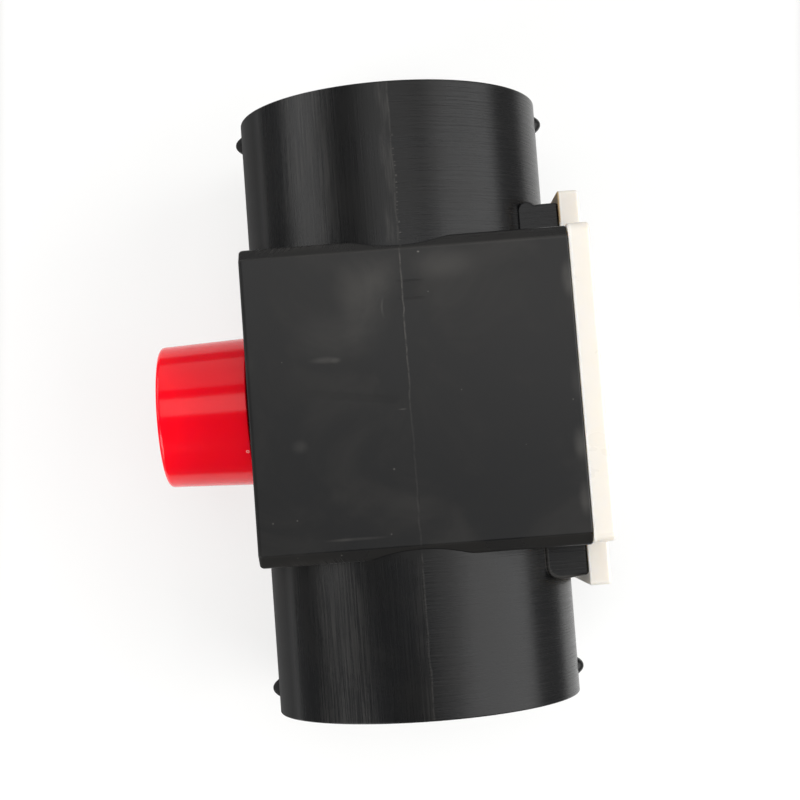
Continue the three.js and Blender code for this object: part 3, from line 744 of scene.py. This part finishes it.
def body_box():
    """The square middle: sloped end edges, and small rounds around its two side faces."""
    bm = bmesh.new()
    loops = []
    steps = 5
    for face, inward, corner in ((box.knob_face, 1, box.knob_corner), (box.cover_face, -1, box.cover_corner)):
        for step in range(steps + 1):
            turn = math.pi / 2 * (step if inward > 0 else steps - step) / steps
            ends, faces = (r * (1 - math.sin(turn)) for r in (corner, box.side_round))
            place = face + inward * corner * (1 - math.cos(turn))
            quarter = end_corner(faces)
            quarter = [(min(u, box.half_along - ends), v) for u, v in quarter]
            half = quarter + [(-u, v) for u, v in reversed(quarter)]
            outline = half + [(-u, -v) for u, v in half]
            loops.append([bm.verts.new((place, u, v)) for u, v in outline])
    skin_loops(bm, loops)
    bm.faces.new(loops[0])
    bm.faces.new(loops[-1])
    return new_piece("body_shell", bm)


def tube_piece(sign):
    root = box.half_along - box.end_slope - 1.0
    centre = (tube.radius - tube.rim_round, tube.half_length - tube.rim_round)
    rim = arc(*centre, tube.rim_round, 0, 90, 6)
    profile = [(0, sign * root), (tube.radius, sign * root)]
    profile += [(r, sign * y) for r, y in rim]
    profile += [(0, sign * tube.half_length)]
    return turned("tube", profile, "Y", 160)


def nub_piece(sign_x, sign_y):
    """A small blunt cone on the side of a tube."""
    heights = ((1.05, -0.6), (1.02, 0.0), (0.9, 0.24), (0.68, 0.58), (0.45, 0.83), (0.22, 0.97), (0.0, 1.0))
    profile = [(0, tube.radius - 1)]
    profile += [(nub.radius * r, tube.radius + nub.proud * h) for r, h in heights]
    cone = turned("nub", [(u, sign_x * v) for u, v in profile], "X", 32)
    from_rim = nub.from_upper_rim if sign_y > 0 else nub.from_lower_rim
    return moved(cone, y=sign_y * (tube.half_length - from_rim))


def lug_piece(sign_y):
    """A lug under one of the cover's ears. The upper one ends in a small barrel."""
    inner = box.cover_face - lug.thickness
    reach, radius = lug.reach_at_back, lug.barrel_radius
    outline = [(box.cover_face, box.half_along - 3), (box.cover_face, lug.reach_at_cover)]
    if sign_y > 0:
        outline += [(inner + 2 * radius + 0.4, lug.reach_at_cover - 0.1)]
        outline += arc(inner + radius, reach - radius, radius, 30, 180, 12)
    else:
        radius = lug.corner_round
        outline += arc(inner + radius, reach - radius, radius, 85, 180, 10)
    outline += [(inner, box.half_along - 3)]
    outline = [(x, sign_y * y) for x, y in outline]
    plate = extruded("lug", outline, -lug.half_width, lug.half_width, "Z")
    return rounded_edges(moved(plate, y=cover_y), lug.edge_round, 3, 50)


def hose_bore(sign):
    mouth = outside_y + sign * tube.half_length
    deep = sign * seat_bore.shoulder
    return turned("bore", [
        (0, deep),
        (tube.bore - 0.8, deep),
        (tube.bore, deep + sign * 0.8),
        (tube.bore, mouth - sign * 0.9),
        (tube.bore + 0.3, mouth - sign * 0.4),
        (tube.bore + 0.9, mouth + sign * 0.1),
        (tube.bore + 0.9, mouth + sign * 2),
        (0, mouth + sign * 2),
    ], "Y", 128)


def seat_pocket(sign):
    return turned("pocket", [
        (0, sign * seat_bore.inner_end),
        (seat_bore.radius, sign * seat_bore.inner_end),
        (seat_bore.radius, sign * (seat_bore.shoulder - 0.7)),
        (seat_bore.radius + 0.8, sign * (seat_bore.shoulder + 0.1)),
        (seat_bore.radius + 0.8, sign * (seat_bore.shoulder + 1)),
        (0, sign * (seat_bore.shoulder + 1)),
    ], "Y", 96)


def body_piece():
    shell = leaned(askew(moved(body_box(), y=outside_y)))
    corners = [(-1, -1), (-1, 1), (1, -1), (1, 1)]
    outside = [tube_piece(-1), tube_piece(1)] + [nub_piece(*corner) for corner in corners]
    for piece in outside:
        moved(piece, y=outside_y)
    combine(shell, outside + [leaned(lug_piece(-1)), leaned(lug_piece(1))], "UNION")

    root = box.knob_face + 0.8
    profile = [(0, boss.end), (boss.radius, boss.end), (boss.radius, root), (0, root)]
    combine(shell, [turned("boss", softened(profile, 0.6), "X", 64)], "UNION")
    for centre in boss.stops:
        low, high = centre - boss.stop_half_angle, centre + boss.stop_half_angle
        outline = [(0, 0)] + arc(0, 0, boss.stop_radius, low, high, 12)
        combine(shell, [extruded("stop", outline, boss.end, root, "X")], "UNION")

    cuts = [hose_bore(-1), hose_bore(1), seat_pocket(-1), seat_pocket(1)]
    cuts += [rod("cavity", cavity.radius, cavity.floor, box.cover_face + 1, "X", 96)]
    cuts += [turned("stem_bore", [
        (0, boss.end - 2), (stem.bush_bore, boss.end - 2), (stem.bush_bore, stem.bush_floor),
        (stem.bore, stem.bush_floor), (stem.bore, stem.flange_floor), (stem.flange_bore, stem.flange_floor),
        (stem.flange_bore, cavity.floor + 0.4), (0, cavity.floor + 0.4),
    ], "X", 64)]
    for spot_y, spot_z in cover_screw_spots:
        hole = turned("hole", [
            (0, 32.0), (2.2, 32.0), (2.2, 32.4), (3.2, 32.4), (3.2, 41), (0, 41),
        ], "X", 32)
        cuts += [leaned(moved(hole, y=spot_y, z=spot_z), 31.0, 31.5)]
    nick_y = outside_y - box.half_along + 2.7
    cuts += [block("nick", (box.cover_face - 0.35, nick_y - 0.25, box.half_deep - 2),
                   (box.cover_face + 0.2, nick_y + 0.25, box.half_deep + 1))]
    return smoothed(combine(shell, cuts, "DIFFERENCE"))


stand_for(body_piece(), "valve_body")

# ---------------------------------------------------------------- knob and spindle

knob = SimpleNamespace(
    end=knob_low.x,
    base=knob_high.x,
    radius_at_base=knob_high.z,
    radius_at_end=18.0,
    end_round=1.2,
    wall=2.4,
    end_wall=5.6,
    hub_radius=8.2,
    hub_end=-52.2,
    pocket_depth=4.0,
    pocket_radius=14.0,
    grip_half_width=3.6,
    stop_lug=((-47.0, 12.9, -3.0), (0.0, 16.9, 3.0)),
    square_half=4.9,
    square_floor=-57.6,
)


def knob_piece():
    inside = knob.end + knob.end_wall
    corner = arc(knob.radius_at_end - knob.end_round, -knob.end - knob.end_round, knob.end_round, 90, 3, 8)
    profile = [(0, knob.end)]
    profile += [(r, -a) for r, a in corner]
    profile += [
        (knob.radius_at_base - 0.12, knob.base - 0.35),
        (knob.radius_at_base - 0.2, knob.base - 0.12),
        (knob.radius_at_base - 0.45, knob.base),
        (knob.radius_at_base - knob.wall, knob.base),
        (knob.radius_at_end - knob.wall + 0.1, inside + 0.9),
        (knob.radius_at_end - knob.wall - 0.8, inside),
        (knob.hub_radius + 0.6, inside),
        (knob.hub_radius, inside + 0.6),
        (knob.hub_radius, knob.hub_end),
        (0, knob.hub_end),
    ]
    piece = turned("knob_shell", profile, "X", 144)
    floor = knob.end + knob.pocket_depth
    pocket = turned("finger_pocket", softened([
        (0, knob.end - 2), (knob.pocket_radius, knob.end - 2), (knob.pocket_radius - 0.3, floor), (0, floor),
    ], 0.8), "X", 96)
    half = knob.grip_half_width
    bar = block("grip_bar", (knob.end - 3, -16, -half), (floor + 1, 16, half))
    middle = rod("grip_middle", knob.hub_radius - 1.2, knob.end - 3, floor + 1)
    combine(piece, [combine(pocket, [bar, middle], "DIFFERENCE")], "DIFFERENCE")
    low, high = knob.stop_lug
    stop_lug = block("stop_lug", low, (knob.base - 0.3, high[1], high[2]))
    combine(piece, [stop_lug], "UNION")
    square = knob.square_half
    hole = block("square_hole", (knob.square_floor, -square, -square), (knob.hub_end + 1, square, square))
    seat = knob.square_floor - 1.5
    bore = turned("screw_bore", [
        (0, knob.end - 1), (4.3, knob.end - 1), (4.3, seat), (2.3, seat), (2.3, seat + 3), (0, seat + 3),
    ], "X", 48)
    combine(piece, [hole, bore], "DIFFERENCE")
    return smoothed(rounded_edges(piece, 0.3))


stand_for(knob_piece(), "turn_knob")


def spindle_piece():
    radius, flange_radius = 7.0, 10.5
    tang_half, tang_height = 3.7, spindle_high.z * 0.857
    square_half, square_start = 4.6, -50.6
    seal_grooves = (-42.0, -38.4)
    flange_inner = cavity.floor - GAP
    flange_outer = flange_inner - 2.6
    profile = [(0, square_start), (radius, square_start)]
    for place in seal_grooves:
        profile += [(radius, place - 1.15), (radius - 2, place - 1.15)]
        profile += [(radius - 2, place + 1.15), (radius, place + 1.15)]
    profile += [(radius, flange_outer), (flange_radius, flange_outer)]
    profile += [(flange_radius, flange_inner), (0, flange_inner)]
    piece = turned("spindle", softened(profile, 0.3, 3), "X", 72)
    tang = block("tang", (flange_inner - 1, -tang_half, -tang_height),
                 (spindle_high.x, tang_half, tang_height))
    square = block("square", (spindle_low.x, -square_half, -square_half),
                   (square_start + 1, square_half, square_half))
    combine(piece, [rounded_edges(tang, 0.5), rounded_edges(square, 0.4)], "UNION")
    combine(piece, [rod("screw_hole", 2.5, spindle_low.x - 1, spindle_low.x + 13, "X", 32)], "DIFFERENCE")
    return smoothed(piece)


stand_for(spindle_piece(), "drive_spindle")


def screw_piece(node, head_radius, head_thickness, shank_radius, towards):
    """A pan-head screw along X with a cross recess and thread ridges, as long as its CAD node."""
    low, high = box_mm(node)
    top, tip = (low.x, high.x) if towards > 0 else (high.x, low.x)
    under = top + towards * head_thickness
    profile = [(0, top), (head_radius * 0.7, top + towards * 0.08), (head_radius * 0.93, top + towards * 0.5)]
    profile += [(head_radius, top + towards * 1.0), (head_radius, under), (shank_radius * 0.8, under)]
    pitch = 0.8
    turns = int(abs(tip - under) / pitch) - 1
    for turn in range(turns):
        ridge = under + towards * (0.5 + turn) * pitch
        profile += [(shank_radius, ridge), (shank_radius * 0.8, ridge + towards * pitch / 2)]
    profile += [(shank_radius * 0.5, tip), (0, tip)]
    piece = turned(node + "_look", profile, "X", 40)
    arm, slot = head_radius * 0.6, head_radius * 0.14
    depth = (top - towards, top + towards * head_thickness * 0.6)
    near, far = min(depth), max(depth)
    cross = block("cross", (near, -slot, -arm), (far, slot, arm))
    combine(cross, [block("arm", (near, -arm, -slot), (far, arm, slot))], "UNION")
    combine(piece, [cross], "DIFFERENCE")
    return smoothed(moved(piece, y=(low.y + high.y) / 2, z=(low.z + high.z) / 2))


stand_for(screw_piece("knob_screw", 4.0, 2.2, 2.0, 1), "knob_screw")


def seal_piece(node, axis):
    """An O-ring of the size and place of its CAD node."""
    low, high = box_mm(node)
    along = (low[axis] + high[axis]) / 2
    section = (high[axis] - low[axis]) / 2
    radius = high.z - section
    circle = arc(radius, along, section, 0, 345, 23)
    return smoothed(turned(node + "_look", circle, "XY"[axis], 128))


for node in ("inner_spindle_seal", "outer_spindle_seal", "cover_seal"):
    stand_for(seal_piece(node, 0), node)
for node in ("upper_seat_seal", "lower_seat_seal"):
    stand_for(seal_piece(node, 1), node)

for node, inner in (("spindle_thrust_washer", 7.3), ("trunnion_bush", 5.3), ("trunnion_washer", 5.3)):
    low, high = box_mm(node)
    stand_for(smoothed(ring(node + "_look", high.z, inner, low.x, high.x, soft=0.2)), node)

bush_low, bush_high = box_mm("spindle_guide_bush")
guide_bush = turned("guide_bush", softened([
    (7.3, bush_low.x), (bush_high.z, bush_low.x), (bush_high.z, bush_low.x + 1.6),
    (9.2, bush_low.x + 1.6), (9.2, bush_high.x), (7.3, bush_high.x),
], 0.2, 3), "X", 96)
stand_for(smoothed(guide_bush), "spindle_guide_bush")

# ---------------------------------------------------------------- cover


def cover_outline(inset):
    """Outline in (Y, Z) of the plate with its two ears, drawn inset from the edge."""
    half_y = cover.half_along - inset
    half_z = cover.half_deep - inset
    ear_y = cover.ear_reach - inset
    ear_z = cover.ear_half_width - inset
    big = cover.corner_round - inset * 0.6
    small = cover.ear_round - inset * 0.6
    root = cover.root_round
    quarter = arc(half_y - big, half_z - big, big, 90, 0, 6)
    quarter += arc(half_y + root, ear_z + root, root, 180, 270, 4)
    quarter += arc(ear_y - small, ear_z - small, small, 90, 0, 6)
    upper_half = quarter + [(u, -v) for u, v in reversed(quarter)]
    return [(u + cover_y, v) for u, v in upper_half] + [(cover_y - u, -v) for u, v in upper_half]


def cover_piece():
    inner = box.cover_face + HAIRLINE
    places = [(inner, cover.back_round), (inner + cover.back_round, 0.0)]
    edge = cover.face_round
    steps = 5
    for step in range(steps + 1):
        turn = math.pi / 2 * step / steps
        places.append((cover.outer - edge + edge * math.sin(turn), edge * (1 - math.cos(turn))))
    bm = bmesh.new()
    loops = [[bm.verts.new((x, u, v)) for u, v in cover_outline(inset)] for x, inset in places]
    skin_loops(bm, loops)
    bm.faces.new(loops[0])
    bm.faces.new(loops[-1])
    plate = askew(new_piece("cover_shell", bm))

    start, end, floor = cover.groove
    spigot = turned("spigot", softened([
        (0, cover.spigot_end), (cover.spigot_radius, cover.spigot_end), (cover.spigot_radius, start),
        (floor, start), (floor, end), (cover.spigot_radius, end),
        (cover.spigot_radius, inner + 2), (0, inner + 2),
    ], 0.4), "X", 96)
    combine(plate, [spigot], "UNION")
    cuts = [rod("pin_bore", cover.pin_bore, cover.spigot_end - 1, cover.pin_floor)]
    outer = cover.outer
    for spot_y, spot_z in cover_screw_spots:
        hole = turned("hole", [
            (0, inner - 1), (2.2, inner - 1), (2.2, outer - 3.3), (4.1, outer - 3.3), (4.1, outer - 0.35),
            (4.5, outer + 0.05), (4.5, outer + 1), (0, outer + 1),
        ], "X", 48)
        cuts += [moved(hole, y=spot_y, z=spot_z)]
    return smoothed(leaned(combine(plate, cuts, "DIFFERENCE"), 31.0, 31.5))


stand_for(cover_piece(), "cover_plate")


def insert_piece(node):
    """A threaded brass insert with three knurled collars, drawn as plain collars without a thread."""
    low, high = box_mm(node)
    outer = (high.z - low.z) / 2
    collar = (high.x - low.x) / 5
    profile = [(2.2, low.x)]
    for step in range(5):
        radius = outer if step % 2 == 0 else outer - 0.35
        profile += [(radius, low.x + step * collar), (radius, low.x + (step + 1) * collar)]
    profile += [(2.2, high.x)]
    piece = turned(node + "_look", softened(profile, 0.12, 2), "X", 48)
    return smoothed(moved(piece, y=(low.y + high.y) / 2, z=(low.z + high.z) / 2))


for number in (1, 2, 3, 4):
    screw, insert = f"cover_screw_{number}", f"cover_insert_{number}"
    stand_for(leaned(screw_piece(screw, 3.8, 2.4, 1.9, -1), 31.0, 31.5), screw)
    stand_for(leaned(insert_piece(insert), 31.0, 31.5), insert)

# ---------------------------------------------------------------- ball, seats and retainers


def ball_piece():
    radius = ball_high.z
    port, slot_half, slot_depth = 19.5, 4.0, 7.0
    piece = turned("ball_shell", [(r, a) for r, a in arc(0, 0, radius, -90, 90, 64)], "X", 128)
    slot = block("slot", (-radius - 1, -slot_half, -radius), (-radius + slot_depth, slot_half, radius))
    bore = rod("trunnion_bore", 5.3, radius - 8.7, radius + 1)
    combine(piece, [rod("port", port, -radius - 1, radius + 1, "Y", 96), slot, bore], "DIFFERENCE")
    return smoothed(rounded_edges(piece, 0.5, 3, 30), 30)


stand_for(ball_piece(), "ball")


def seat_ring_piece(name, sign):
    inner, lip, back = 20.0, 22.0, seat_high.y
    outer = seat_high.x
    front = seat_low.y
    clear = ball_high.z + GAP
    face_radii = (inner, inner + 0.7, inner + 1.4, lip)
    face_at = [(radius, math.sqrt(clear * clear - radius * radius) + 0.1) for radius in face_radii]
    profile = face_at + [
        (lip + 1.2, front), (outer - 0.4, front), (outer, front + 0.4), (outer, back - 3.0),
        (24.8, back - 3.0), (24.8, back), (inner + 0.3, back), (inner, back - 0.3),
    ]
    return smoothed(turned(name, [(r, sign * a) for r, a in profile], "Y", 128))


def retainer_piece(name, sign):
    """A ring screwed in behind the seat, with four spanner slots and thread ridges outside."""
    inner, outer = 20.0, retainer_high.x
    start, end = retainer_low.y, retainer_high.y
    profile = [(inner, start), (outer - 0.5, start)]
    pitch = 1.5
    place = start + 0.5
    while place + pitch < end - 0.5:
        profile += [(outer, place), (outer, place + pitch * 0.4), (outer - 0.5, place + pitch * 0.5),
                    (outer - 0.5, place + pitch * 0.9)]
        place += pitch
    profile += [(outer - 0.5, end), (inner + 1.5, end), (inner, end - 1.5)]
    piece = turned(name, [(r, sign * a) for r, a in profile], "Y", 128)
    low, high = sorted((sign * (end - 3), sign * (end + 1)))
    across = block("slots", (-outer - 1, low, -2.5), (outer + 1, high, 2.5))
    upright = block("slots", (-2.5, low, -outer - 1), (2.5, high, outer + 1))
    combine(piece, [across, upright], "DIFFERENCE")
    return smoothed(piece)


for side, sign in (("upper", 1), ("lower", -1)):
    stand_for(seat_ring_piece(side + "_seat_look", sign), side + "_seat_ring")
    stand_for(retainer_piece(side + "_retainer_look", sign), side + "_seat_retainer", RETAINER_BLACK)

pin_low, pin_high = box_mm("trunnion_pin")
pin = softened([(0, pin_low.x), (pin_high.z, pin_low.x), (pin_high.z, pin_high.x), (0, pin_high.x)], 0.5)
stand_for(smoothed(turned("trunnion_pin_look", pin, "X", 64)), "trunnion_pin")

# ---------------------------------------------------------------- stage, lights and camera

# how far the picture is turned about the line of sight, in degrees
VIEW_ROLL = 4.25


def aimed(place, aim, up):
    """A matrix that puts something at a place with its -Z axis towards the aim (millimetres)."""
    back = (Vector(place) - Vector(aim)).normalized()
    right = Vector(up).cross(back).normalized()
    true_up = back.cross(right)
    rotation = Matrix((right, true_up, back)).transposed().to_4x4()
    return Matrix.Translation(Vector(place) * MM) @ rotation


def stage_floor():
    """A white sheet under the valve on a grey table, with a soft change between them."""
    floor_half, floor_z = 4000, cad_low.z / MM
    sheet_x, sheet_y = -1.7, 2.3
    fade_across, fade_along = (110, 127), (120, 153)
    bm = bmesh.new()
    corners = [(-1, -1), (1, -1), (1, 1), (-1, 1)]
    bm.faces.new([bm.verts.new((u * floor_half, v * floor_half, floor_z)) for u, v in corners])
    floor = new_piece("floor", bm)
    n = Nodes("pale_floor")
    grain = n.noise(n.coords, 0.02, 3.0, 0.5)
    square_on = n.make("ShaderNodeVectorRotate", rotation_type="Z_AXIS")
    n.link(n.coords, square_on.inputs["Vector"])
    square_on.inputs["Angle"].default_value = math.radians(VIEW_ROLL)
    x, y, z = n.split(square_on.outputs["Vector"])
    across, along = n.math("ABSOLUTE", n.add(x, -sheet_x)), n.math("ABSOLUTE", n.add(y, -sheet_y))
    off_sheet = n.math("MAXIMUM", n.ramp(across, *fade_across), n.ramp(along, *fade_along))
    sheet = n.mix(grain, (0.29, 0.29, 0.288), (0.31, 0.31, 0.308))
    n.set("Base Color", n.mix(off_sheet, sheet, (0.09, 0.09, 0.09)))
    n.set("Roughness", 0.6)
    n.set("Specular IOR Level", 0.2)
    n.set("Emission Color", (1.0, 1.0, 0.99))
    n.set("Emission Strength", n.ramp(off_sheet, 0.0, 1.0, 0.64, 0.0))
    floor.data.materials.append(n.material)


def soft_panel(name, across, along, distance, size, radiance):
    """A soft box seen from the valve at these angles from the vertical, towards +X and +Y."""
    direction = Vector((math.tan(math.radians(across)), math.tan(math.radians(along)), 1)).normalized()
    light = bpy.data.lights.new(name, "AREA")
    light.shape = "RECTANGLE"
    light.size = size[0] * MM
    light.size_y = size[1] * MM
    light.energy = math.pi * light.size * light.size_y * radiance
    lamp = bpy.data.objects.new(name, light)
    bpy.context.scene.collection.objects.link(lamp)
    lamp.matrix_world = aimed(direction * distance, (0, 0, 0), (0, 1, 0))


def dim_world(strength):
    """An even white glow from all around."""
    world = bpy.data.worlds.new("studio")
    world.use_nodes = True
    background = world.node_tree.nodes["Background"]
    background.inputs["Color"].default_value = (1, 1, 1, 1)
    background.inputs["Strength"].default_value = strength
    bpy.context.scene.world = world


def camera():
    lens = bpy.data.cameras.new("camera")
    lens.sensor_width = 36.0
    lens.lens = 69.26
    lens.clip_start = 0.01
    lens.clip_end = 30.0
    holder = bpy.data.objects.new("camera", lens)
    bpy.context.scene.collection.objects.link(holder)
    aim = Vector((-2.04, 0.10, 0))
    distance = 396.4
    swing, tilt, roll = (math.radians(angle) for angle in (-0.48, -3.28, VIEW_ROLL))
    away = Vector((math.sin(swing), math.sin(tilt), math.cos(tilt) * math.cos(swing))).normalized()
    holder.matrix_world = aimed(aim + away * distance, aim, (math.sin(roll), math.cos(roll), 0))
    bpy.context.scene.camera = holder


stage_floor()
soft_panel("overhead", 0, 12.2, 1250, (900, 600), 1.95)
soft_panel("low_right", 20, -12, 1300, (520, 420), 1.7)
soft_panel("right_wall", 57, -12, 1400, (1550, 1700), 3.2)
soft_panel("window", 0, 80, 1400, (2000, 2270), 1.0)
soft_panel("left_low", -68, 48, 1400, (760, 1450), 2.4)
soft_panel("near_fill", -58, -55, 1400, (950, 950), 5.4)
dim_world(0.15)
camera()
bpy.context.scene.view_settings.view_transform = "Standard"
bpy.context.scene.view_settings.look = "None"
